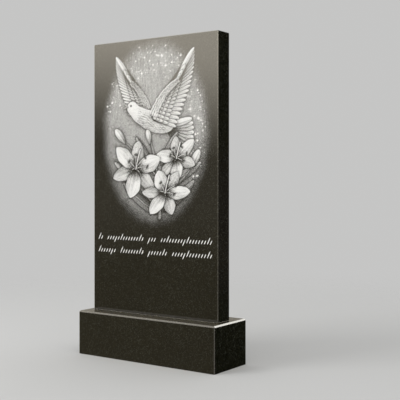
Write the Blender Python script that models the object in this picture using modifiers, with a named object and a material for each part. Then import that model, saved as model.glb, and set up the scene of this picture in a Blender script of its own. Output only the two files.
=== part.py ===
"""A granite memorial: a polished upright stele that stands on a rectangular plinth.

Metres, +Z up. The front faces -Y and +X is to the right of someone who reads the stele.
The origin is the centre of the plinth's underside, where the memorial meets the ground.

The stele and the plinth are two blocks with their exposed edges taken off at 45 degrees. Two rows
of short slanting strokes are engraved across the stele below the middle, in groups like words.
"""

import bmesh
import bpy
from mathutils import Matrix, Vector

# Stele
STELE_WIDTH = 0.565
STELE_THICKNESS = 0.072
STELE_HEIGHT = 1.000
STELE_ARRIS = 0.0025
STELE_FOOT_ARRIS = 0.0015

# Plinth
PLINTH_WIDTH = 0.613
PLINTH_DEPTH = 0.199
PLINTH_HEIGHT = 0.161
PLINTH_TOP_ARRIS = 0.005
PLINTH_CORNER_ARRIS = 0.0025

# Where the stele stands on the plinth
FRONT_LEDGE = 0.0568
SEAT_GAP = 0.0003

# Engraved rows: heights are measured up from the stele's foot, to each row's lower line
ROW_HEIGHTS = (0.2665, 0.2190)
ROW_MARGIN = 0.022
ROW_WORDS = ((2, 14, 3, 18), (7, 9, 7, 14))
WORD_SPACE = 1.5

# One engraved stroke
STROKE_WIDTH = 0.0042
STROKE_LENGTH = 0.0145
STROKE_SLANT = 0.50
STROKE_DEPTH = 0.0010
STROKE_FLOOR = 0.7
STROKE_SIDES = 12
CUT_CLEARANCE = 0.0005

# Taller strokes rise above the row and longer ones hang below it, each at a steady beat
RISE = 0.010
RISE_BEAT = 7
RISE_FIRST = 0
DROP = 0.009
DROP_BEAT = 11
DROP_FIRST = 5

# Colours of the stone
BLACK_GRANITE = (0.022, 0.020, 0.015)
POLISHED = 0.10
HONED = 0.22


def clear_scene():
    """Remove every object that a new file starts with."""
    for item in list(bpy.data.objects):
        bpy.data.objects.remove(item, do_unlink=True)


def new_collection(name):
    """A collection of that name, linked to the scene."""
    collection = bpy.data.collections.new(name)
    bpy.context.scene.collection.children.link(collection)
    return collection


def stone(name, colour, roughness):
    """A plain stone material: a dark, non-metallic surface with a given polish."""
    material = bpy.data.materials.new(name)
    material.use_nodes = True
    shader = material.node_tree.nodes["Principled BSDF"]
    shader.inputs["Base Color"].default_value = (*colour, 1.0)
    shader.inputs["Roughness"].default_value = roughness
    shader.inputs["Metallic"].default_value = 0.0
    material.diffuse_color = (*colour, 1.0)
    return material


def add_object(name, bm, collection):
    """Turn a finished bmesh into a named object in a collection."""
    mesh = bpy.data.meshes.new(name)
    bm.to_mesh(mesh)
    bm.free()
    item = bpy.data.objects.new(name, mesh)
    collection.objects.link(item)
    return item


def chamfered_block(name, size, arrises, foot, collection, material):
    """A block of the given size that stands on the point foot.

    Its edges have 45 degree chamfers: arrises gives how far they are set back round the top, down
    the four corners and round the underside, where 0 leaves the edges square.
    """
    width, depth, height = size
    top, corner, underside = arrises
    widest = max(arrises)
    bm = bmesh.new()
    to_size = Matrix.Translation((0.0, 0.0, height / 2)) @ Matrix.Diagonal((width, depth, height, 1.0))
    bmesh.ops.create_cube(bm, size=1.0, matrix=to_size)
    weight = bm.edges.layers.float.new("bevel_weight_edge")
    for edge in bm.edges:
        ends = [point.co.z > height / 2 for point in edge.verts]
        if all(ends):
            arris = top
        elif any(ends):
            arris = corner
        else:
            arris = underside
        edge[weight] = arris / widest
    block = add_object(name, bm, collection)
    block.location = foot
    block.data.materials.append(material)
    chamfer = block.modifiers.new("Chamfer", "BEVEL")
    chamfer.limit_method = "WEIGHT"
    chamfer.offset_type = "OFFSET"
    chamfer.width = widest
    chamfer.segments = 1
    return block


def word_places(words, row_width):
    """The centres of a row's strokes, left to right.

    The row's width is shared by the strokes and by the spaces between words, so that the row
    always fills it from margin to margin.
    """
    pitches = sum(words) + WORD_SPACE * (len(words) - 1)
    pitch = row_width / pitches
    places = []
    left = -row_width / 2
    for count in words:
        places += [left + (index + 0.5) * pitch for index in range(count)]
        left += (count + WORD_SPACE) * pitch
    return places


def stroke_span(index):
    """The lower and upper end of a stroke, measured from the row's lower line."""
    low = 0.0
    high = STROKE_LENGTH
    if index % RISE_BEAT == RISE_FIRST:
        high += RISE
    if index % DROP_BEAT == DROP_FIRST:
        low -= DROP
    return low, high


def cut_stroke(bm, centre, half_length, face_y):
    """Add one cutter: a shallow elliptical frustum, long and slanting, that narrows inwards.

    Its rim is an ellipse of STROKE_WIDTH by twice half_length in the plane of the face, and its
    floor is the same ellipse times STROKE_FLOOR, at STROKE_DEPTH behind the face.
    """
    reach = STROKE_DEPTH + CUT_CLEARANCE
    outer = 1.0 + (1.0 - STROKE_FLOOR) * CUT_CLEARANCE / STROKE_DEPTH
    half_width = STROKE_WIDTH / 2
    middle_y = face_y + (STROKE_DEPTH - CUT_CLEARANCE) / 2
    place = Matrix((
        (half_width, STROKE_SLANT * half_length, 0.0, centre.x),
        (0.0, 0.0, -1.0, middle_y),
        (0.0, half_length, 0.0, centre.y),
        (0.0, 0.0, 0.0, 1.0),
    ))
    bmesh.ops.create_cone(bm, cap_ends=True, segments=STROKE_SIDES, radius1=STROKE_FLOOR,
                          radius2=outer, depth=reach, matrix=place)


def engraving_cutter(face_y, foot_z, collection):
    """All the strokes of all the rows as one cutting object, kept out of the render."""
    bm = bmesh.new()
    row_width = STELE_WIDTH - 2 * ROW_MARGIN
    for height, words in zip(ROW_HEIGHTS, ROW_WORDS):
        for index, x in enumerate(word_places(words, row_width)):
            low, high = stroke_span(index)
            middle = (low + high) / 2
            lean = STROKE_SLANT * (middle - STROKE_LENGTH / 2)
            centre = Vector((x + lean, foot_z + height + middle))
            cut_stroke(bm, centre, (high - low) / 2, face_y)
    cutter = add_object("engraving_cutter", bm, collection)
    cutter.hide_render = True
    cutter.display_type = "WIRE"
    return cutter


def build():
    """Make the plinth, the stele on it and the engraving in its face."""
    clear_scene()
    parts = new_collection("granite_monument")
    cutters = new_collection("cutters")

    plinth_size = (PLINTH_WIDTH, PLINTH_DEPTH, PLINTH_HEIGHT)
    plinth_arrises = (PLINTH_TOP_ARRIS, PLINTH_CORNER_ARRIS, 0.0)
    chamfered_block("plinth", plinth_size, plinth_arrises, (0.0, 0.0, 0.0), parts,
                    stone("plinth_granite", BLACK_GRANITE, HONED))

    face_y = FRONT_LEDGE - PLINTH_DEPTH / 2
    foot_z = PLINTH_HEIGHT + SEAT_GAP
    foot = (0.0, face_y + STELE_THICKNESS / 2, foot_z)
    stele_size = (STELE_WIDTH, STELE_THICKNESS, STELE_HEIGHT)
    stele_arrises = (STELE_ARRIS, STELE_ARRIS, STELE_FOOT_ARRIS)
    stele = chamfered_block("stele", stele_size, stele_arrises, foot, parts,
                            stone("stele_granite", BLACK_GRANITE, POLISHED))

    engraving = stele.modifiers.new("Engraving", "BOOLEAN")
    engraving.operation = "DIFFERENCE"
    engraving.solver = "EXACT"
    engraving.object = engraving_cutter(face_y, foot_z, cutters)


build()
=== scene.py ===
"""The looks of a polished granite memorial: stone, etched picture, engraved strokes, studio."""
import math

import bmesh
import bpy
import numpy as np
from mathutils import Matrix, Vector


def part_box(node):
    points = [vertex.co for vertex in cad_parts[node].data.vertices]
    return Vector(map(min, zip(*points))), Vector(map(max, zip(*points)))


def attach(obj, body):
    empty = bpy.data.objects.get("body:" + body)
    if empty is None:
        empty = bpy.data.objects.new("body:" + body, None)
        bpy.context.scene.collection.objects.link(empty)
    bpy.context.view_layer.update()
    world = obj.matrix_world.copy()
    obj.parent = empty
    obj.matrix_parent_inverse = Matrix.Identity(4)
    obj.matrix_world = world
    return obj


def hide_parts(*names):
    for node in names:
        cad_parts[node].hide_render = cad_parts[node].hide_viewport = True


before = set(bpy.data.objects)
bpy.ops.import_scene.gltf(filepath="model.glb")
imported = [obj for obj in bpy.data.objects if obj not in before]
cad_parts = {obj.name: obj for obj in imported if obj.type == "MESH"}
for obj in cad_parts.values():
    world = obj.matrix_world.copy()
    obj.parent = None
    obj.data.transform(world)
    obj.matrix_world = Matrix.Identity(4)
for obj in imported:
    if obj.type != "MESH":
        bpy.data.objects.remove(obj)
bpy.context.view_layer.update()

# Camera, level and square to the uprights, as in the photograph
CAMERA_PLACE = (1.8868, -2.4392, 0.6528)
CAMERA_YAW = math.radians(35.013)
FOCAL_PIXELS = 846.43
HORIZON_PIXEL = 179.17
FRAME_PIXELS = 400
SENSOR_WIDTH = 36.0

# The stele as the frame gives it, its edges' chamfer and the depth of its strokes
STELE_LOW, STELE_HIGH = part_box("stele")
FACE_Y = STELE_LOW.y
STELE_ARRIS = 0.0025
STROKE_DEPTH = 0.001

# How near counts as touching, how small an angle as flat, and how large a part of a unit normal as
# facing that way
MERGE_REACH = 1e-6
CUT_REACH = 1e-7
TOUCH = 1e-5
FLAT_ANGLE = 0.001
SQUARE_ON = 0.95
TURNED_DOWN = -0.3

# The etched picture's field on the stele's face, and the middle of its glow above the stele's foot
FIELD_MARGIN = 0.0055
FIELD_FOOT = 0.314
GLOW_MIDDLE = 0.662
PICTURE_STEP = 0.00205
FINE = 3
CENTIMETRES = 100.0

# The picture's own units are centimetres from the middle of the glow. Its tones are as the eye sees
# them, 0 bare stone to 1 white, and EYE_GAMMA turns them into the share of the polish pecked away
GLOW_HALF = (24.6, 33.8)
GLOW_SHIFT = 0.6
CRISPNESS = 0.55
EYE_GAMMA = 2.2
DARKEST_TONE = 0.03
EVERYWHERE = (slice(None), slice(None))
LATTICE = 64
GOLDEN_SHARE = 0.618

# The granite's crystals, how far their outlines wander, and the turn of the whole pattern
CRYSTALS_PER_METRE = 460.0
BLACK_CRYSTAL = (0.0016, 0.0015, 0.0012)
BROWN_CRYSTAL = (0.0105, 0.0096, 0.0056)
GREY_CRYSTAL = (0.034, 0.035, 0.030)
GRAIN_WANDER = 0.0016
GRAIN_TURN = (0.5, 0.8, 0.3)

# The granite's finishes: the roughness of the hardest and of the softest crystals, what multiplies
# the colour, as a ground or sawn surface scatters more light, and how strongly it mirrors at all.
# The honed top's multiplier is lighter and warm: partly the paler grey of honed stone, partly a
# painted reflection of the warm studio light, as its own mirroring is nearly off
POLISHED = ((0.035, 0.09), (1.0, 1.0, 0.97), 0.5)
# The honed top: a lighter grey, warmed as a painted reflection of the studio light
HONED_WITH_PAINTED_REFLECTION = ((0.10, 0.18), (2.7, 2.25, 1.35), 0.0125)
GROUND = ((0.10, 0.16), (2.4, 2.4, 2.33), 0.75)
SAWN = ((0.42, 0.60), (6.8, 6.8, 6.6), 0.5)
SAW_MARKS_PER_METRE = 45.0

# The etching: pecked dots of frosted stone, the largest a little under a cell in radius
FROST = (0.87, 0.865, 0.845)
FROST_ROUGHNESS = 0.55
DOTS_PER_METRE = 800.0
DOT_CRISPNESS = 0.5
LARGEST_DOT = 0.88
DOT_EDGE = 0.06

# The fine relief of each surface: how strongly it tilts the normals, and its height in metres
GRAIN_RELIEF = (0.05, 0.0001)
ETCH_RELIEF = (0.25, 0.0002)
SAW_RELIEF = (0.5, 0.0006)
PAINT_RELIEF = (0.2, 0.0002)
BEDDING_RELIEF = (0.3, 0.0003)

# Scales of the noise patterns, in waves to the metre
OUTLINE_NOISE = 260.0
FINE_CLOUDS = 95.0
BROAD_CLOUDS = 6.0
SAW_NOISE = 14.0
PAINT_NOISE = 420.0
BEDDING_GRIT = 260.0

# The strokes' paint and the joint's filling
PAINT_LIGHT = (0.94, 0.935, 0.92)
PAINT_DULL = (0.80, 0.79, 0.76)
BEDDING_LIGHT = (0.94, 0.91, 0.84)
BEDDING_DARK = (0.86, 0.83, 0.76)
BEDDING_ROUGHNESS = 0.8

# Studio: plain pale surroundings, soft light, what the polish mirrors from each side, and the rise
# of the bright front's lower edge beyond FAR_LEFT
PALE_WALL = (0.56, 0.56, 0.555)
SOFT_LIGHT = 0.80
MIRROR_LOW = (0.39, 0.34, 0.22)
MIRROR_LEVEL = (0.62, 0.55, 0.41)
MIRROR_RIGHT = (0.79, 0.74, 0.62)
MIRROR_RIGHT_LOW = (1.10, 1.03, 0.92)
MIRROR_FRONT = (5.9, 5.45, 4.62)
MIRROR_BACK = (6.9, 6.7, 6.2)
MIRROR_ABOVE = (2.8, 2.64, 2.32)
MIRROR_BACK_LEFT = (1.15, 1.08, 0.93)
MIRROR_BACK_RIGHT = (0.022, 0.025, 0.012)
MIRROR_BACK_BAND = (0.082, 0.070, 0.058)
FRONT_SLANT = 0.22
FAR_LEFT = 0.56

# Floor, which fades into the wall between two distances, and the one lamp with what it points at
FLOOR_RADIUS = 9.0
FLOOR_SIDES = 96
FLOOR_DROP = 0.0003
FLOOR_NEAR = 0.9
FLOOR_FAR = 3.2
FLOOR_COLOUR = (0.62, 0.62, 0.61)
FLOOR_ROUGHNESS = 0.6
LAMP_PLACE = (-2.0, -3.0, 3.0)
LAMP_AIM = (0.0, 0.0, 0.6)
LAMP_SIZE = 2.0
LAMP_POWER = 60.0


def smooth(low, high, value):
    """0 below low, 1 above high, and the cubic 3t^2 - 2t^3 between."""
    t = np.clip((value - low) / (high - low), 0.0, 1.0)
    return t * t * (3.0 - 2.0 * t)


def hump(value, middle, half):
    """A bell of height 1 at middle: e to the minus ((value - middle) / half) squared."""
    return np.exp(-(((value - middle) / half) ** 2))


class Sheet:
    """The tone of the picture on a grid of points."""

    def __init__(self, xs, zs):
        self.x, self.z = np.meshgrid(xs, zs)
        self.tone = np.zeros_like(self.x)
        self.pixel = abs(xs[1] - xs[0])

    def span(self, left, right, low, high, reach):
        """The rows and columns that hold a rectangle and reach beyond it."""
        xs, zs = self.x[0], self.z[:, 0]
        cols = slice(*np.searchsorted(xs, (left - reach, right + reach)))
        rows = slice(*np.searchsorted(zs, (low - reach, high + reach)))
        return rows, cols

    def around(self, point, reach):
        """The rows and columns within reach of a point."""
        x, z = point
        return self.span(x, x, z, z, reach)

    def lay(self, at, out, tone, strength=1.0):
        """Lay a tone where the signed distance out is negative, with an edge one sample wide."""
        cover = np.clip(0.5 - out / self.pixel, 0.0, 1.0) * strength
        part = self.tone[at]
        self.tone[at] = part + (np.clip(tone, DARKEST_TONE, 1.0) - part) * cover

    def shade_round(self, at, out, depth, reach):
        """Darken what lies just outside an edge, so that the shape stands clear of it."""
        self.tone[at] *= 1.0 - depth * np.exp(-np.maximum(out, 0.0) / reach)


def noise(x, z, seed, cell):
    """Smooth value noise, -1 to 1: random numbers on a square lattice, blended between corners."""
    rng = np.random.default_rng(seed)
    lattice = rng.uniform(-1.0, 1.0, (LATTICE, LATTICE))
    gx, gz = x / cell, z / cell
    ix, iz = np.floor(gx).astype(int), np.floor(gz).astype(int)
    fx, fz = smooth(0, 1, gx - ix), smooth(0, 1, gz - iz)

    def corner(dx, dz):
        """The lattice's number at one corner of each point's square."""
        return lattice[(iz + dz) % LATTICE, (ix + dx) % LATTICE]

    low = corner(0, 0) * (1 - fx) + corner(1, 0) * fx
    high = corner(0, 1) * (1 - fx) + corner(1, 1) * fx
    return low * (1 - fz) + high * fz


def blade(sheet, root, angle, length, width, bend=0.0, belly=1.0, blunt=2.0, ruffle=0.0,
          squash=None, point=0.5):
    """Where a long flat shape such as a feather, petal or leaf lies: grid slice, u, v and distance.

    u runs 0 to 1 from root to tip along angle, and v -1 to 1 across. The middle line bends
    sideways by bend * length * u squared. The half width is
    width * (1 - |2 u^belly - 1|^blunt)^point, so belly under 1 puts the widest part nearer the root,
    a higher blunt gives straighter sides and rounder ends, and a point of 0.5 gives round ends and
    of 1 sharp ones. ruffle is the share by which the half width waves along the edge. squash is a
    direction and the share by which the shape is narrowed across it, as when it is seen at a slant.
    """
    at = sheet.around(root, length * (1.15 + abs(bend)) + width)
    dx = sheet.x[at] - root[0]
    dz = sheet.z[at] - root[1]
    if squash:
        lean, share = squash
        c, s = math.cos(lean), math.sin(lean)
        along = dx * c + dz * s
        across = (-dx * s + dz * c) / share
        dx, dz = along * c - across * s, along * s + across * c
    c, s = math.cos(angle), math.sin(angle)
    u = (dx * c + dz * s) / length
    side = -dx * s + dz * c - bend * length * u * u
    inner = np.clip(u, 1e-6, 1 - 1e-6)
    half = width * (1.0 - np.abs(2.0 * inner ** belly - 1.0) ** blunt) ** point
    if ruffle:
        half = half * (1.0 + ruffle * np.sin(17.0 * u + 9.0 * angle))
    out = np.maximum(np.abs(side) - half, np.maximum(-u, u - 1.0) * length)
    return at, u, side / np.maximum(half, 1e-3), out


def curve_point(points, t):
    """A point on the quadratic curve through the control points, at t from 0 to 1."""
    (ax, az), (bx, bz), (cx, cz) = points
    a, b, c = (1 - t) ** 2, 2 * t * (1 - t), t * t
    return a * ax + b * bx + c * cx, a * az + b * bz + c * cz


def feather(sheet, root, angle, length, width, bend, light=1.0, depth=0.6):
    """One feather: a pale shaft, slanting barbs, its lower side and its root in shade."""
    at, u, v, out = blade(sheet, root, angle, length, width, bend, belly=0.8, blunt=3.4)
    sheet.shade_round(at, out, depth, 0.26)
    barbs = np.sin(2 * math.pi * (u * length + np.abs(v) * width * 1.2) / 0.62)
    tone = 0.96 - 0.24 * smooth(-0.7, 0.9, -v) - 0.26 * (1.0 - smooth(0.0, 0.6, u))
    tone = tone + 0.05 * barbs * (1 - smooth(0.75, 1.0, np.abs(v)))
    tone = tone + 0.08 * hump(v, 0.0, 0.10) - 0.18 * hump(v, -0.24, 0.12)
    tone = tone - 0.26 * smooth(0.70, 1.0, np.abs(v))
    sheet.lay(at, out, tone * light)


def wing(sheet, arm, angles, reach, light, turn):
    """A spread wing: rows of feathers from the arm's curve, the longest row first.

    arm is the curve from shoulder to wing tip, angles the direction of the first and last feather
    and reach their lengths. Each row is shorter than the one below it and overlaps it like tiles:
    rows gives its share of the length, its count of feathers, their width and their tint.
    """
    rows = ((1.0, 19, 0.98, 1.00), (0.66, 17, 0.90, 0.92), (0.44, 16, 0.80, 1.00),
            (0.27, 15, 0.68, 0.94), (0.15, 14, 0.56, 1.03))
    for share, count, width, tint in rows:
        for index in range(count):
            t = index / (count - 1)
            angle = angles[0] + (angles[1] - angles[0]) * t ** 1.15
            length = share * (reach[0] + (reach[1] - reach[0]) * math.sin(math.pi / 2 * t) ** 1.4)
            if share < 1.0:
                length *= 1.0 - 0.25 * t
            feather(sheet, curve_point(arm, t), angle, length, width, turn * 0.10, light * tint)


def arm_cover(sheet, arm, count, size, light, seed):
    """Rows of little round feathers that hide the bones of a wing along its leading edge."""
    rng = np.random.default_rng(seed)
    for index in range(count):
        t = 1.0 - (index + 0.5) / count
        x, z = curve_point(arm, t)
        ahead = curve_point(arm, min(1.0, t + 0.02))
        behind = curve_point(arm, max(0.0, t - 0.02))
        along = math.atan2(ahead[1] - behind[1], ahead[0] - behind[0])
        for side in (-0.9, -0.3, 0.3, 0.9):
            off = side * size * (1.15 - 0.75 * t)
            root = (x - off * math.sin(along), z + off * math.cos(along))
            lean = along + rng.normal(0.0, 0.12) + 0.10 * side
            feather(sheet, root, lean, size * (1.5 - 0.5 * t), 0.40 * size, 0.0,
                    light * (1.04 - 0.14 * abs(side + 0.2)), 0.14)


def soft_body(sheet, shapes, blending, tone_of):
    """Lay ellipses that melt into one another: (x, z, half length, half width, angle) each.

    Each ellipse's signed distance is about (r - 1) times its half width, and two distances a and b
    join as a smooth minimum over the width blending.
    """
    field = np.full_like(sheet.x, 99.0)
    for x, z, a, b, angle in shapes:
        c, s = math.cos(angle), math.sin(angle)
        dx, dz = sheet.x - x, sheet.z - z
        d = (np.hypot((dx * c + dz * s) / a, (-dx * s + dz * c) / b) - 1.0) * b
        h = np.clip(0.5 + 0.5 * (d - field) / blending, 0, 1)
        field = d * (1 - h) + field * h - blending * h * (1 - h)
    sheet.shade_round(EVERYWHERE, field, 0.55, 0.5)
    sheet.lay(EVERYWHERE, field, tone_of(field))


def dove_down(sheet, field):
    """Tone of the dove's round body: brightest along the back, shaded along the belly."""
    inside = np.clip(-field / 3.6, 0, 1)
    back = smooth(-4.5, 7.5, sheet.z + 0.22 * sheet.x)
    fleck = 0.05 * noise(sheet.x, sheet.z * 2.2, 3, 0.75)
    return 0.58 + 0.20 * inside + 0.34 * back + fleck


def dove(sheet):
    """A white dove in flight to the left, wings raised: far wing, tail, body, near wing, beak, eye."""
    far_arm = ((-1.8, 7.4), (-4.6, 14.6), (-9.6, 18.0))
    wing(sheet, far_arm, (math.radians(178), math.radians(121)), (9.6, 12.8), 1.04, 1.0)
    arm_cover(sheet, far_arm, 26, 1.05, 1.0, 4)
    for index in range(9):
        t = index / 8 - 0.5
        spread = math.radians(-22) + t * math.radians(60)
        feather(sheet, (6.6, 2.0), spread, 12.4 - 2.8 * abs(t), 1.35, 0.10 * t, 1.06)
    body_neck_head = ((1.2, 3.6, 8.4, 3.9, math.radians(-14)), (-6.3, 6.5, 3.8, 2.8, math.radians(160)),
                      (-9.6, 9.2, 2.35, 2.1, math.radians(20)))
    soft_body(sheet, body_neck_head, 1.7, lambda field: dove_down(sheet, field))
    rng = np.random.default_rng(8)
    for _ in range(260):
        t = rng.uniform(0, 1)
        root = (-7.5 + 13.0 * t, 6.4 - 3.6 * t + rng.uniform(-2.9, 2.4))
        angle = math.radians(-25) + rng.normal(0, 0.15)
        at, _u, v, out = blade(sheet, root, angle, 1.5, 0.46, 0.05, 0.8, 3.0)
        sheet.lay(at, out, sheet.tone[at] * (1.05 - 0.26 * smooth(0.2, 1.0, np.abs(v))), 0.85)
    near_arm = ((0.0, 5.2), (3.6, 13.6), (10.8, 17.6))
    wing(sheet, near_arm, (math.radians(-14), math.radians(62)), (11.0, 13.4), 1.12, -1.0)
    arm_cover(sheet, near_arm, 32, 1.25, 1.16, 5)
    at, _u, v, out = blade(sheet, (-11.4, 9.6), math.radians(199), 2.3, 0.48, 0.10, 0.55, 2.2)
    sheet.shade_round(at, out, 0.3, 0.2)
    sheet.lay(at, out, 0.55 - 0.16 * v)
    eye = ((-10.1, 9.75, 0.46, 0.50), (-10.1, 9.75, 0.33, 0.04), (-10.2, 9.88, 0.10, 1.0))
    for x, z, radius, tone in eye:
        sheet.lay(EVERYWHERE, np.hypot(sheet.x - x, sheet.z - z) - radius, tone)


def leaf(sheet, root, angle, length, width, bend, light=1.0):
    """A long pointed leaf with parallel veins and one side in shade."""
    at, u, v, out = blade(sheet, root, angle, length, width, bend, belly=0.75, blunt=2.0)
    sheet.shade_round(at, out, 0.55, 0.4)
    veins = np.cos(2 * math.pi * v * 2.5)
    tone = 0.46 + 0.22 * smooth(-1.0, 1.0, v) + 0.05 * veins + 0.18 * hump(v, 0.0, 0.09)
    tone = tone * (0.72 + 0.40 * u) - 0.16 * smooth(0.7, 1.0, np.abs(v))
    sheet.lay(at, out, tone * light)


def petal(sheet, root, angle, length, width, bend, squash, light):
    """A lily's petal: dark at the throat, pale outside, grooved along its middle and freckled."""
    at, u, v, out = blade(sheet, root, angle, length, width, bend, belly=1.12, blunt=2.1, ruffle=0.035,
                          squash=squash, point=0.80)
    sheet.shade_round(at, out, 0.6, 0.42)
    groove = hump(v, 0.0, 0.08) * (1 - smooth(0.7, 0.95, u))
    ribs = np.cos(2 * math.pi * v * 3.0) * (1 - smooth(0.55, 0.95, np.abs(v)))
    spots = noise(sheet.x[at] + 0.4 * sheet.z[at], sheet.z[at] - 0.4 * sheet.x[at], 17, 0.30)
    freckles = smooth(0.45, 0.75, spots) * hump(u, 0.30, 0.13) * (1 - smooth(0.3, 0.75, np.abs(v)))
    tone = 0.52 + 0.45 * smooth(0.02, 0.50, u) - 0.20 * groove + 0.05 * ribs - 0.28 * freckles
    tone = tone - 0.20 * smooth(-0.2, 1.0, -v) + 0.04 * np.sin(11 * u + 4 * v)
    tone = tone - 0.08 * smooth(0.80, 1.0, np.abs(v))
    sheet.lay(at, out, tone * light)


def tube(sheet, points, width, taper, tone, gleam=0.0, depth=0.0, steps=60):
    """A thin round rod along the quadratic curve through points, tapering from root to tip.

    The nearest of the curve's points gives each place its distance, and the side that faces up
    and to the right is lighter by gleam.
    """
    xs, zs = zip(*points)
    at = sheet.span(min(xs), max(xs), min(zs), max(zs), 2.0)
    px, pz = sheet.x[at], sheet.z[at]
    out, lit = np.full_like(px, 9.0), np.zeros_like(px)
    for index in range(steps + 1):
        t = index / steps
        x, z = curve_point(points, t)
        half = width * (1 - taper * t)
        d = np.hypot(px - x, pz - z) - half
        closer = d < out
        out = np.where(closer, d, out)
        lit = np.where(closer, (px - x + pz - z) / half, lit)
    sheet.shade_round(at, out, depth, 0.35)
    sheet.lay(at, out, tone + gleam * lit)


def lily(sheet, middle, size, turn, squash):
    """An open lily: three petals behind, three in front, six stamens and a pistil."""
    for ring, light in ((0, 0.84), (1, 1.0)):
        for k in range(3):
            angle = turn + math.radians(120 * k + 60 * ring)
            bend = 0.10 * math.sin(2 * angle + ring)
            petal(sheet, middle, angle, size * (1.05 + 0.05 * ring), size * (0.25 + 0.045 * ring), bend,
                  squash, light)
    at = sheet.around(middle, size * 0.5)
    throat = np.hypot(sheet.x[at] - middle[0], (sheet.z[at] - middle[1]) * 1.2) / (0.24 * size)
    sheet.tone[at] *= 1.0 - 0.5 * np.exp(-throat ** 2)
    for k in range(6):
        angle = turn + math.radians(60 * k + 25)
        reach = size * 0.52
        end = (middle[0] + math.cos(angle) * reach * 0.75 + 0.10 * size,
               middle[1] + math.sin(angle) * reach * 0.60 + 0.16 * size)
        half = (middle[0] + math.cos(angle) * reach * 0.25,
                middle[1] + math.sin(angle) * reach * 0.20 + 0.12 * size)
        tube(sheet, (middle, half, end), 0.11, 0.3, 0.95, 0.05, 0.35, 40)
        lean = angle + 1.3
        anther = 0.065 * size
        root = (end[0] - anther * math.cos(lean), end[1] - anther * math.sin(lean))
        at, _u, v, out = blade(sheet, root, lean, 2 * anther, 0.42 * anther, 0.0, 1.0, 2.4)
        sheet.shade_round(at, out, 0.5, 0.2)
        sheet.lay(at, out, 0.34 - 0.16 * v)
    pistil = (middle, (middle[0] + 0.05 * size, middle[1] + 0.25 * size),
              (middle[0] + 0.18 * size, middle[1] + 0.62 * size))
    tube(sheet, pistil, 0.17, -0.3, 0.90, 0.06, 0.4, 40)


def bud(sheet, root, angle, length, width, bend=0.06):
    """A closed bud with one seam down its side."""
    at, u, v, out = blade(sheet, root, angle, length, width, bend, belly=1.25, blunt=2.2)
    sheet.shade_round(at, out, 0.55, 0.4)
    tone = 0.50 + 0.38 * smooth(0.05, 0.8, u) + 0.14 * hump(v, 0.2, 0.3)
    tone = tone - 0.26 * hump(v, -0.25, 0.08) - 0.24 * smooth(0.5, 1.0, -v)
    sheet.lay(at, out, tone)


def spray(sheet):
    """Lilies on their stems, with long leaves and buds, low in the glow."""
    leaves = (
        ((2.5, -29.0), 158, 19.0, 2.0, -0.20, 0.86), ((3.2, -28.0), 22, 18.0, 2.0, 0.22, 0.86),
        ((1.5, -25.5), 138, 18.5, 1.8, -0.12, 1.0), ((3.5, -24.5), 45, 17.0, 1.8, 0.18, 0.96),
        ((1.0, -20.0), 168, 20.5, 1.9, -0.25, 1.04), ((4.0, -19.0), 12, 18.5, 1.9, 0.22, 1.04),
        ((0.5, -14.0), 118, 14.5, 1.4, 0.10, 0.96), ((4.0, -12.0), 64, 13.5, 1.4, -0.10, 0.96))
    for root, angle, length, width, bend, light in leaves:
        leaf(sheet, root, math.radians(angle), length, width, bend, light)
    stems = ((((3.0, -31.0), (3.5, -18.0), (-1.0, -3.6)), 0.62, 240),
             (((3.0, -20.0), (7.0, -14.0), (11.0, -10.0)), 0.48, 160),
             (((2.4, -17.0), (-4.0, -10.0), (-13.2, -3.3)), 0.46, 200),
             (((3.1, -23.0), (10.0, -21.0), (17.2, -13.0)), 0.44, 200))
    for points, width, steps in stems:
        tube(sheet, points, width, 0.4, 0.52, 0.17, 0.5, steps)
    bud(sheet, (-12.8, -4.0), math.radians(128), 7.2, 1.45)
    bud(sheet, (17.0, -13.6), math.radians(66), 7.6, 1.50, -0.06)
    bud(sheet, (-1.2, -4.4), math.radians(100), 5.4, 1.15)
    lily(sheet, (10.6, -9.8), 9.2, math.radians(100), (math.radians(30), 0.78))
    lily(sheet, (-7.8, -13.4), 11.4, math.radians(78), (math.radians(-20), 0.86))
    lily(sheet, (5.6, -22.0), 10.2, math.radians(55), (math.radians(15), 0.76))


def glow(sheet):
    """A pale oval mist with a soft edge: palest at the top, streaked upright there like brushwork."""
    r = np.hypot((sheet.x - GLOW_SHIFT) / GLOW_HALF[0], sheet.z / GLOW_HALF[1])
    r = r + 0.016 * noise(sheet.x, sheet.z, 1, 3.1)
    mist = 0.54 + 0.07 * smooth(-22, 26, sheet.z) + 0.07 * hump(r, 0.0, 0.6)
    streaks = noise(sheet.x * 3.4, sheet.z * 0.7, 5, 1.6) * (0.3 + 0.7 * smooth(-5, 25, sheet.z))
    hatching = noise(sheet.x + 0.6 * sheet.z, sheet.z * 2.0 - sheet.x, 7, 0.55)
    clouds = noise(sheet.x, sheet.z, 6, 5.0)
    mist = mist + 0.055 * streaks + 0.030 * hatching + 0.04 * clouds
    sheet.tone += mist * (1.0 - smooth(0.82, 1.10, r)) ** 0.8


def sparkles(sheet):
    """Small four-pointed stars: a few large ones in the mist, and a dust of little ones."""
    rng = np.random.default_rng(21)
    for index in range(230):
        bend = -0.7 + (0.7 + math.pi * 0.92) * (index * GOLDEN_SHARE % 1.0)
        far = rng.uniform(0.62, 0.95)
        point = math.cos(bend) * GLOW_HALF[0] * far, math.sin(bend) * GLOW_HALF[1] * far
        size = rng.uniform(0.20, 0.46) if index < 60 else rng.uniform(0.10, 0.20)
        at = sheet.around(point, 4 * size)
        dx, dz = np.abs(sheet.x[at] - point[0]) / size, np.abs(sheet.z[at] - point[1]) / size
        rays = np.exp(-4.0 * dx - 1.1 * dz) + np.exp(-1.1 * dx - 4.0 * dz)
        star = rays + 0.7 * np.exp(-(dx ** 2 + dz ** 2))
        sheet.tone[at] = np.clip(sheet.tone[at] + 0.5 * np.clip(star, 0, 1.3), 0, 1)


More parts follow.
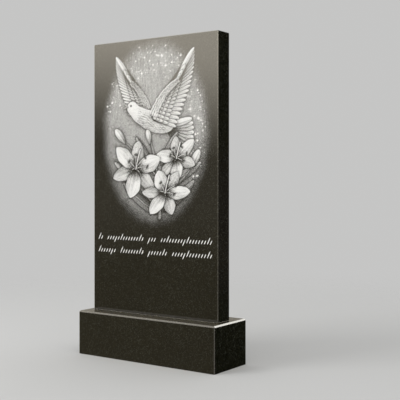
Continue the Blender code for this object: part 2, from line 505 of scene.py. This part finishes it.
def draw(xs, zs):
    """The whole picture on the grid of xs and zs, each layer over the ones before it."""
    sheet = Sheet(xs, zs)
    glow(sheet)
    sparkles(sheet)
    dove(sheet)
    spray(sheet)
    return np.clip(sheet.tone, 0.0, 1.0)


def link(tree, source, target):
    """Join an output socket to an input socket."""
    tree.links.new(source, target)


def node(tree, kind, **settings):
    """A new shader node with its settings."""
    made = tree.nodes.new(kind)
    for name, value in settings.items():
        setattr(made, name, value)
    return made


def feed(tree, socket, value):
    """Set a socket to a number or colour, or link it to another socket."""
    if isinstance(value, (int, float)):
        socket.default_value = value
    elif isinstance(value, tuple):
        socket.default_value = (*value, 1.0) if len(value) == 3 and socket.type == "RGBA" else value
    else:
        link(tree, value, socket)


def calc(tree, operation, first, second=None, clamp=False):
    """A Math node, clamped to 0 and 1 if asked."""
    made = node(tree, "ShaderNodeMath", operation=operation, use_clamp=clamp)
    feed(tree, made.inputs[0], first)
    if second is not None:
        feed(tree, made.inputs[1], second)
    return made.outputs[0]


def ease(tree, value, low, high, at_low=0.0, at_high=1.0):
    """A smooth step in value from low to high, between two outputs."""
    made = node(tree, "ShaderNodeMapRange", interpolation_type="SMOOTHSTEP")
    for name, number in (("Value", value), ("From Min", low), ("From Max", high), ("To Min", at_low),
                         ("To Max", at_high)):
        feed(tree, made.inputs[name], number)
    return made.outputs["Result"]


def blend_colours(tree, factor, first, second, mode="MIX"):
    """The mix of two colours by factor, or another of the Mix node's modes."""
    made = node(tree, "ShaderNodeMix", data_type="RGBA", blend_type=mode)
    feed(tree, made.inputs[0], factor)
    feed(tree, made.inputs[6], first)
    feed(tree, made.inputs[7], second)
    return made.outputs[2]


def object_place(tree):
    """Each point's place on the piece, in metres."""
    return node(tree, "ShaderNodeTexCoord").outputs["Object"]


def noise_texture(tree, place, scale, **settings):
    """A Noise texture's outputs, with its scale and any other of its sockets by name."""
    made = node(tree, "ShaderNodeTexNoise")
    link(tree, place, made.inputs["Vector"])
    for name, value in {"Scale": scale, **settings}.items():
        feed(tree, made.inputs[name], value)
    return made.outputs


def new_group(name, inputs, outputs):
    """A shader node group with its sockets, and its inner input and output nodes."""
    group = bpy.data.node_groups.new(name, "ShaderNodeTree")
    for direction, sockets in (("INPUT", inputs), ("OUTPUT", outputs)):
        for title, kind, value in sockets:
            socket = group.interface.new_socket(title, in_out=direction, socket_type="NodeSocket" + kind)
            if value is not None:
                socket.default_value = (*value, 1.0) if isinstance(value, tuple) else value
    return group, node(group, "NodeGroupInput"), node(group, "NodeGroupOutput")


def use_group(tree, group, **values):
    """A copy of a group in a tree, with its own values for the inputs named, and its outputs."""
    made = node(tree, "ShaderNodeGroup", node_tree=group)
    for name, value in values.items():
        feed(tree, made.inputs[name.replace("_", " ")], value)
    return made.outputs


def granite_grain():
    """Crystals of a fine black granite: mostly black, some brown-olive, a few grey, softly clouded.

    Each crystal is a cell whose outline is moved by noise times GRAIN_WANDER, and three random numbers
    of its own say whether it is brown, grey or soft. Fine clouding is added to the first two, so that
    brown and grey crystals gather, and broad clouding multiplies the colour. Colour is the crystal's
    colour. Polish is 0 to 1, lower on the softer crystals. Height is the hair's breadth by which the
    hard crystals stand out. The pattern is turned by GRAIN_TURN, so that no side of a block lies
    along its lattice.
    """
    group, given, result = new_group(
        "granite grain",
        (("Crystals per metre", "Float", CRYSTALS_PER_METRE), ("Black", "Color", BLACK_CRYSTAL),
         ("Brown", "Color", BROWN_CRYSTAL), ("Grey", "Color", GREY_CRYSTAL)),
        (("Colour", "Color", None), ("Polish", "Float", None), ("Height", "Float", None)))
    turned = node(group, "ShaderNodeMapping")
    link(group, object_place(group), turned.inputs["Vector"])
    turned.inputs["Rotation"].default_value = GRAIN_TURN
    place = turned.outputs[0]
    shift = node(group, "ShaderNodeVectorMath", operation="SCALE")
    link(group, noise_texture(group, place, OUTLINE_NOISE)["Color"], shift.inputs[0])
    shift.inputs["Scale"].default_value = GRAIN_WANDER
    bent = node(group, "ShaderNodeVectorMath", operation="ADD")
    link(group, place, bent.inputs[0])
    link(group, shift.outputs[0], bent.inputs[1])
    crystal = node(group, "ShaderNodeTexVoronoi", feature="F1", distance="MINKOWSKI")
    feed(group, crystal.inputs["Exponent"], 0.8)
    link(group, bent.outputs[0], crystal.inputs["Vector"])
    link(group, given.outputs["Crystals per metre"], crystal.inputs["Scale"])
    chance = node(group, "ShaderNodeSeparateColor")
    link(group, crystal.outputs["Color"], chance.inputs[0])
    brown_chance, grey_chance, soft_chance = chance.outputs
    cloud = noise_texture(group, place, FINE_CLOUDS, Detail=5.0, Roughness=0.7)["Fac"]
    brown_lean = calc(group, "ADD", brown_chance, calc(group, "MULTIPLY", cloud, 0.55))
    grey_lean = calc(group, "ADD", grey_chance, calc(group, "MULTIPLY", cloud, 0.35))
    brown = ease(group, brown_lean, 0.70, 0.86)
    grey = ease(group, grey_lean, 1.03, 1.10)
    colour = blend_colours(group, brown, given.outputs["Black"], given.outputs["Brown"])
    colour = blend_colours(group, grey, colour, given.outputs["Grey"])
    broad = noise_texture(group, place, BROAD_CLOUDS, Detail=3.0)["Fac"]
    shade = ease(group, broad, 0.25, 0.75, 0.82, 1.18)
    link(group, blend_colours(group, 1.0, colour, shade, "MULTIPLY"), result.inputs["Colour"])
    softness = calc(group, "MAXIMUM", calc(group, "MULTIPLY", soft_chance, 0.6), grey)
    link(group, calc(group, "SUBTRACT", 1.0, softness, True), result.inputs["Polish"])
    stand = calc(group, "ADD", calc(group, "MULTIPLY", grey_chance, 0.5), cloud)
    link(group, stand, result.inputs["Height"])
    return group


def etched_stipple():
    """Fine pecked dots that make a picture's tone: a dot's radius grows as the tone's square root.

    Cover is 0 on bare polish and 1 on fully frosted stone, and on average about equals the tone. It
    is the dots by the share Crispness and the plain tone by the rest. Height is highest in the
    middle of a dot.
    """
    group, given, result = new_group(
        "etched stipple",
        (("Tone", "Float", 0.0), ("Dots per metre", "Float", DOTS_PER_METRE),
         ("Crispness", "Float", DOT_CRISPNESS)),
        (("Cover", "Float", None), ("Height", "Float", None)))
    tone, crispness = given.outputs["Tone"], given.outputs["Crispness"]
    dots = node(group, "ShaderNodeTexVoronoi", feature="F1")
    link(group, object_place(group), dots.inputs["Vector"])
    link(group, given.outputs["Dots per metre"], dots.inputs["Scale"])
    away = dots.outputs["Distance"]
    radius = calc(group, "MULTIPLY", calc(group, "SQRT", tone), LARGEST_DOT)
    dot = ease(group, calc(group, "SUBTRACT", radius, away), -DOT_EDGE, DOT_EDGE)
    dotted = calc(group, "MULTIPLY", dot, crispness)
    plain = calc(group, "MULTIPLY", tone, calc(group, "SUBTRACT", 1.0, crispness))
    link(group, calc(group, "ADD", dotted, plain, True), result.inputs["Cover"])
    raised = calc(group, "MULTIPLY", dot, calc(group, "SUBTRACT", 1.0, away))
    link(group, raised, result.inputs["Height"])
    return group


def saw_marks():
    """Shallow parallel grooves left by a saw that ran level through the block, uneven in depth."""
    group, given, result = new_group(
        "saw marks", (("Marks per metre", "Float", SAW_MARKS_PER_METRE),), (("Depth", "Float", None),))
    place = object_place(group)
    waves = node(group, "ShaderNodeTexWave", wave_type="BANDS", bands_direction="Z")
    link(group, place, waves.inputs["Vector"])
    link(group, given.outputs["Marks per metre"], waves.inputs["Scale"])
    feed(group, waves.inputs["Distortion"], 1.6)
    feed(group, waves.inputs["Detail"], 3.0)
    uneven = noise_texture(group, place, SAW_NOISE)["Fac"]
    link(group, calc(group, "MULTIPLY", waves.outputs["Fac"], uneven), result.inputs["Depth"])
    return group


def new_material(name):
    """A material with its node tree and its one shader."""
    material = bpy.data.materials.new(name)
    material.use_nodes = True
    return material, material.node_tree, material.node_tree.nodes["Principled BSDF"]


def bump(tree, shader, height, relief):
    """Tilt a shader's normal by a height that varies over the surface."""
    strength, distance = relief
    made = node(tree, "ShaderNodeBump")
    feed(tree, made.inputs["Height"], height)
    made.inputs["Strength"].default_value = strength
    made.inputs["Distance"].default_value = distance
    link(tree, made.outputs[0], shader.inputs["Normal"])


def stone_material(name, groups, finish, picture=False, sawn=False):
    """Granite at one stage of its finish, with the etched picture on it or saw marks if asked.

    finish is the roughness of the hardest and of the softest crystals, the colour that multiplies
    the grain's, and how strongly the surface mirrors.
    """
    (rough_low, rough_high), lift, gloss = finish
    material, tree, shader = new_material(name)
    grain = use_group(tree, groups["grain"])
    # The lift: on the honed top it also carries a painted warm reflection
    colour = blend_colours(tree, 1.0, grain["Colour"], lift, "MULTIPLY")
    rough = ease(tree, grain["Polish"], 0.0, 1.0, rough_high, rough_low)
    if picture:
        tone = node(tree, "ShaderNodeAttribute", attribute_name="etch").outputs["Fac"]
        stipple = use_group(tree, groups["stipple"], Tone=tone)
        colour = blend_colours(tree, stipple["Cover"], colour, FROST)
        rough = ease(tree, stipple["Cover"], 0.0, 0.5, rough, FROST_ROUGHNESS)
        bump(tree, shader, stipple["Height"], ETCH_RELIEF)
    elif sawn:
        marks = use_group(tree, groups["saw"])
        bump(tree, shader, marks["Depth"], SAW_RELIEF)
    else:
        bump(tree, shader, grain["Height"], GRAIN_RELIEF)
    link(tree, colour, shader.inputs["Base Color"])
    link(tree, rough, shader.inputs["Roughness"])
    shader.inputs["Specular IOR Level"].default_value = gloss
    return material


def stroke_paint():
    """Pale enamel laid into the engraved strokes, a little uneven and matt."""
    material, tree, shader = new_material("stroke_paint")
    uneven = noise_texture(tree, object_place(tree), PAINT_NOISE)["Fac"]
    amount = ease(tree, uneven, 0.35, 0.75, 0.0, 0.35)
    link(tree, blend_colours(tree, amount, PAINT_LIGHT, PAINT_DULL), shader.inputs["Base Color"])
    link(tree, ease(tree, uneven, 0.3, 0.7, 0.38, 0.58), shader.inputs["Roughness"])
    bump(tree, shader, uneven, PAINT_RELIEF)
    return material


def bedding():
    """Pale compound that fills the narrow joint between the stele's foot and the plinth."""
    material, tree, shader = new_material("bedding")
    grit = noise_texture(tree, object_place(tree), BEDDING_GRIT)["Fac"]
    amount = ease(tree, grit, 0.35, 0.7)
    link(tree, blend_colours(tree, amount, BEDDING_LIGHT, BEDDING_DARK), shader.inputs["Base Color"])
    shader.inputs["Roughness"].default_value = BEDDING_ROUGHNESS
    bump(tree, shader, grit, BEDDING_RELIEF)
    return material


def grid_mesh(xs, zs, y):
    """An upright grid that faces -Y, one quad to each cell of xs and zs."""
    x, z = np.meshgrid(xs, zs)
    points = np.stack((x, np.full_like(x, y), z), axis=-1).reshape(-1, 3)
    columns = len(xs)
    corner = (np.arange(len(zs) - 1)[:, None] * columns + np.arange(columns - 1)).ravel()
    quads = np.stack((corner, corner + 1, corner + columns + 1, corner + columns), axis=-1)
    mesh = bpy.data.meshes.new("picture_field")
    mesh.from_pydata(points, [], quads)
    return mesh


def crisper(tone):
    """The tone plus CRISPNESS times how far it stands out from the mean of its 3 by 3 neighbours."""
    wide = np.pad(tone, 1, mode="edge")
    rows = (wide[:-2] + wide[1:-1] + wide[2:]) / 3
    soft = (rows[:, :-2] + rows[:, 1:-1] + rows[:, 2:]) / 3
    return np.clip(tone + CRISPNESS * (tone - soft), 0.0, 1.0)


def picture_tone(xs, zs):
    """The picture's tone at each grid point, averaged from FINE by FINE samples around it."""
    middle = STELE_LOW.z + GLOW_MIDDLE
    offsets = (np.arange(FINE) - (FINE - 1) / 2) / FINE * PICTURE_STEP
    fine_x = (xs[:, None] + offsets).ravel() * CENTIMETRES
    fine_z = ((zs[:, None] + offsets).ravel() - middle) * CENTIMETRES
    tone = draw(fine_x, fine_z).reshape(len(zs), FINE, len(xs), FINE).mean(axis=(1, 3))
    return crisper(tone) ** EYE_GAMMA


def tone_at_corners(mesh, xs, zs):
    """The picture's tone at each vertex of the mesh that lies on a point of the grid, 0 at the rest."""
    places = np.empty(len(mesh.vertices) * 3)
    mesh.vertices.foreach_get("co", places)
    x, y, z = places.reshape(-1, 3).T
    column = np.clip(np.rint((x - xs[0]) / (xs[1] - xs[0])), 0, len(xs) - 1).astype(int)
    row = np.clip(np.rint((z - zs[0]) / (zs[1] - zs[0])), 0, len(zs) - 1).astype(int)
    miss = np.abs(x - xs[column]) + np.abs(z - zs[row]) + np.abs(y - FACE_Y)
    return np.where(miss < TOUCH, picture_tone(xs, zs)[row, column], 0.0)


def merged_copy(node_name):
    """A bmesh of a CAD node with its loose triangles merged into flat faces."""
    bm = bmesh.new()
    bm.from_mesh(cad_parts[node_name].data)
    bmesh.ops.remove_doubles(bm, verts=bm.verts, dist=MERGE_REACH)
    bmesh.ops.dissolve_limit(bm, angle_limit=FLAT_ANGLE, verts=bm.verts, edges=bm.edges)
    return bm


def to_mesh(name, bm):
    """Turn a finished bmesh into a mesh of that name."""
    mesh = bpy.data.meshes.new(name)
    bm.to_mesh(mesh)
    bm.free()
    return mesh


def finish_piece(name, mesh, indices, materials):
    """Turn a mesh into a piece: one material to each face, riding on the body as its CAD node does."""
    for material in materials:
        mesh.materials.append(material)
    mesh.polygons.foreach_set("material_index", indices.astype(np.int32))
    mesh.update()
    piece = bpy.data.objects.new(name, mesh)
    bpy.context.scene.collection.objects.link(piece)
    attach(piece, "root")
    return piece


def face_arrays(mesh):
    """Centres and normals of all faces, a row each."""
    centres = np.empty(len(mesh.polygons) * 3)
    normals = np.empty(len(mesh.polygons) * 3)
    mesh.polygons.foreach_get("center", centres)
    mesh.polygons.foreach_get("normal", normals)
    return centres.reshape(-1, 3), normals.reshape(-1, 3)


def cut_field(bm, left, right, low, high):
    """Cut the picture's rectangle out of the stele's face: slice along its four sides, then delete."""
    for point, normal in (((left, 0, 0), (1, 0, 0)), ((right, 0, 0), (1, 0, 0)),
                          ((0, 0, low), (0, 0, 1)), ((0, 0, high), (0, 0, 1))):
        whole = bm.verts[:] + bm.edges[:] + bm.faces[:]
        bmesh.ops.bisect_plane(bm, geom=whole, dist=CUT_REACH, plane_co=point, plane_no=normal)
    field = []
    for face in bm.faces:
        middle = face.calc_center_median()
        inside = left < middle.x < right and low < middle.z < high
        if inside and abs(middle.y - FACE_Y) < TOUCH:
            field.append(face)
    bmesh.ops.delete(bm, geom=field, context="FACES")
    loose = [corner for corner in bm.verts if not corner.link_faces]
    bmesh.ops.delete(bm, geom=loose, context="VERTS")


def stele_finishes(mesh):
    """Each face's material: 0 polish, 1 paint, 2 ground arris, 3 sawn, 4 the joint's filling.

    Paint is on what lies behind the face by up to one and a half times the strokes' depth, clear of
    the chamfers. What slants is a chamfer, and the one that faces down at the foot shows the joint.
    """
    centres, normals = face_arrays(mesh)
    x, y, z = centres.T
    behind_face = (y > FACE_Y + TOUCH) & (y < FACE_Y + 1.5 * STROKE_DEPTH)
    off_sides = np.abs(x) < STELE_HIGH.x - 1.5 * STELE_ARRIS
    off_ends = (z < STELE_HIGH.z - 1.5 * STELE_ARRIS) & (z > STELE_LOW.z + STELE_ARRIS)
    engraved = behind_face & off_sides & off_ends
    slanting = (np.abs(normals).max(axis=1) < SQUARE_ON) & ~engraved
    at_foot = slanting & (normals[:, 2] < TURNED_DOWN)
    rough = (normals[:, 1] > SQUARE_ON) | (normals[:, 2] < -SQUARE_ON)
    return np.select([engraved, at_foot, slanting, rough], [1, 4, 2, 3], 0)


def dressed_stele(polished, paint, arris, sawn, joint):
    """The stele with its picture: the CAD form, its face refined to a fine grid inside the field.

    The field is cut out of the face and a grid laid in its place, one cell smaller all round, and
    the strip between them is filled, so the solid stays closed. The point attribute etch carries
    the picture's tone. The joint's filling shows on the slanting strip round the stele's foot.
    """
    left, right = STELE_LOW.x + FIELD_MARGIN, STELE_HIGH.x - FIELD_MARGIN
    low, high = STELE_LOW.z + FIELD_FOOT, STELE_HIGH.z - FIELD_MARGIN
    bm = merged_copy("stele")
    cut_field(bm, left, right, low, high)
    columns = round((right - left) / PICTURE_STEP)
    rows = round((high - low) / PICTURE_STEP)
    xs = np.linspace(left, right, columns + 1)[1:-1]
    zs = np.linspace(low, high, rows + 1)[1:-1]
    patch = grid_mesh(xs, zs, FACE_Y)
    bm.from_mesh(patch)
    bpy.data.meshes.remove(patch)
    rim = [edge for edge in bm.edges if edge.is_boundary]
    bmesh.ops.triangle_fill(bm, edges=rim, use_beauty=True, use_dissolve=False, normal=(0.0, -1.0, 0.0))
    mesh = to_mesh("stele_stone", bm)
    etch = mesh.attributes.new("etch", "FLOAT", "POINT")
    etch.data.foreach_set("value", tone_at_corners(mesh, xs, zs))
    materials = (polished, paint, arris, sawn, joint)
    piece = finish_piece("stele_stone", mesh, stele_finishes(mesh), materials)
    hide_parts("stele")


def dressed_plinth(polished, top, arris, sawn):
    """The plinth: polished round its sides, honed on top with a painted warm reflection in its colour,
    ground on its arrises, sawn behind and below.
    """
    mesh = to_mesh("plinth_stone", merged_copy("plinth"))
    _centres, normals = face_arrays(mesh)
    top_faces = normals[:, 2] > SQUARE_ON
    slanting = np.abs(normals).max(axis=1) < SQUARE_ON
    rough = (normals[:, 1] > SQUARE_ON) | (normals[:, 2] < -SQUARE_ON)
    indices = np.select([top_faces, slanting, rough], [1, 2, 3], 0)
    piece = finish_piece("plinth_stone", mesh, indices, (polished, top, arris, sawn))
    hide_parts("plinth")


def place_camera():
    """The photograph's camera: level, so the horizon is set by the shift alone."""
    data = bpy.data.cameras.new("camera")
    data.sensor_width = SENSOR_WIDTH
    data.lens = FOCAL_PIXELS / FRAME_PIXELS * SENSOR_WIDTH
    data.shift_y = (HORIZON_PIXEL - FRAME_PIXELS / 2) / FRAME_PIXELS
    camera = bpy.data.objects.new("camera", data)
    camera.location = CAMERA_PLACE
    camera.rotation_euler = (math.pi / 2, 0.0, CAMERA_YAW)
    bpy.context.scene.collection.objects.link(camera)
    bpy.context.scene.camera = camera


def studio_world():
    """Even light on what is matt, a plain pale wall behind, and for the polish a bright loft.

    x, y and z are the parts of a ray's direction, and what the polish mirrors there is made of the
    MIRROR colours, with an eased step from each to the next. Nothing but glossy rays sees them.
    """
    world = bpy.data.worlds.new("studio")
    bpy.context.scene.world = world
    world.use_nodes = True
    world.cycles.sampling_method = "NONE"
    tree = world.node_tree
    tree.nodes.clear()
    split = node(tree, "ShaderNodeSeparateXYZ")
    link(tree, node(tree, "ShaderNodeTexCoord").outputs["Generated"], split.inputs[0])
    x, y, z = split.outputs

    # To the front: dim up to eye level and paler on the right, then bright over a line just above
    # eye level, which rises on the far left
    low = blend_colours(tree, ease(tree, z, -0.11, -0.02), MIRROR_LOW, MIRROR_LEVEL)
    right = blend_colours(tree, ease(tree, z, -0.19, -0.15), MIRROR_RIGHT_LOW, MIRROR_RIGHT)
    low = blend_colours(tree, ease(tree, x, 0.3, 0.7), low, right)
    far_left = calc(tree, "MINIMUM", calc(tree, "ADD", x, FAR_LEFT), 0.0)
    slant = calc(tree, "ADD", z, calc(tree, "MULTIPLY", far_left, FRONT_SLANT))
    front = blend_colours(tree, ease(tree, slant, 0.015, 0.160), low, MIRROR_FRONT)

    # To the back: dim low on the left, dark on the right and higher up, with a faint band just below
    # eye level, and bright high on the right
    shade = calc(tree, "MAXIMUM", ease(tree, x, -0.3, 0.35), ease(tree, z, 0.25, 0.45))
    band = calc(tree, "MULTIPLY", ease(tree, z, -0.16, -0.10), ease(tree, z, -0.01, 0.06, 1.0, 0.0))
    dark = blend_colours(tree, band, MIRROR_BACK_RIGHT, MIRROR_BACK_BAND)
    back = blend_colours(tree, shade, MIRROR_BACK_LEFT, dark)
    high_right = calc(tree, "MULTIPLY", ease(tree, z, 0.20, 0.56), ease(tree, x, -0.02, 0.10))
    back = blend_colours(tree, high_right, back, MIRROR_BACK)

    around = blend_colours(tree, ease(tree, y, -0.45, 0.15), front, back)
    mirrored = blend_colours(tree, ease(tree, z, 0.66, 0.78), around, MIRROR_ABOVE)
    path = node(tree, "ShaderNodeLightPath").outputs

    def background(colour, strength):
        """A Background shader of one colour and strength."""
        made = node(tree, "ShaderNodeBackground")
        feed(tree, made.inputs["Color"], colour)
        made.inputs["Strength"].default_value = strength
        return made.outputs[0]

    def choose(factor, otherwise, chosen):
        """The shader chosen where factor is 1, and otherwise where it is 0."""
        made = node(tree, "ShaderNodeMixShader")
        for socket, value in zip(made.inputs, (factor, otherwise, chosen)):
            link(tree, value, socket)
        return made.outputs[0]

    soft = background((1.0, 1.0, 1.0), SOFT_LIGHT)
    lit = choose(path["Is Glossy Ray"], soft, background(mirrored, 1.0))
    seen = choose(path["Is Camera Ray"], lit, background(PALE_WALL, 1.0))
    link(tree, seen, node(tree, "ShaderNodeOutputWorld").inputs[0])


def pale_floor():
    """A matt floor that carries the soft shadow and fades into the wall, so no horizon shows."""
    bpy.ops.mesh.primitive_circle_add(vertices=FLOOR_SIDES, radius=FLOOR_RADIUS, fill_type="NGON",
                                      location=(0.0, 0.0, -FLOOR_DROP))
    floor = bpy.context.object
    floor.name = "floor"
    material, tree, shader = new_material("floor")
    shader.inputs["Base Color"].default_value = (*FLOOR_COLOUR, 1.0)
    shader.inputs["Roughness"].default_value = FLOOR_ROUGHNESS
    shader.inputs["Specular IOR Level"].default_value = 0.0
    away = node(tree, "ShaderNodeVectorMath", operation="LENGTH")
    link(tree, object_place(tree), away.inputs[0])
    link(tree, ease(tree, away.outputs["Value"], FLOOR_NEAR, FLOOR_FAR, 1.0, 0.0), shader.inputs["Alpha"])
    floor.data.materials.append(material)
    floor.visible_glossy = False


def soft_lamp():
    """A square soft box that points at about the memorial's middle and isn't mirrored in the polish."""
    data = bpy.data.lights.new("key_light", "AREA")
    data.size = LAMP_SIZE
    data.energy = LAMP_POWER
    lamp = bpy.data.objects.new("key_light", data)
    lamp.location = LAMP_PLACE
    towards = Vector(LAMP_AIM) - Vector(LAMP_PLACE)
    lamp.rotation_euler = towards.to_track_quat("-Z", "Y").to_euler()
    lamp.visible_glossy = False
    bpy.context.scene.collection.objects.link(lamp)


place_camera()
studio_world()
pale_floor()
soft_lamp()
bpy.context.scene.view_settings.view_transform = "Standard"

groups = {"grain": granite_grain(), "stipple": etched_stipple(), "saw": saw_marks()}
etched_polish = stone_material("etched_polish", groups, POLISHED, picture=True)
polish = stone_material("polish", groups, POLISHED)
# The plinth's top: honed stone's lighter grey with a painted warm reflection in its colour
honed_top_with_painted_reflection = stone_material("honed_top_with_painted_reflection", groups, HONED_WITH_PAINTED_REFLECTION)
ground_arris = stone_material("ground_arris", groups, GROUND)
sawn_back = stone_material("sawn_back", groups, SAWN, sawn=True)
dressed_stele(etched_polish, stroke_paint(), ground_arris, sawn_back, bedding())
dressed_plinth(polish, honed_top_with_painted_reflection, ground_arris, sawn_back)
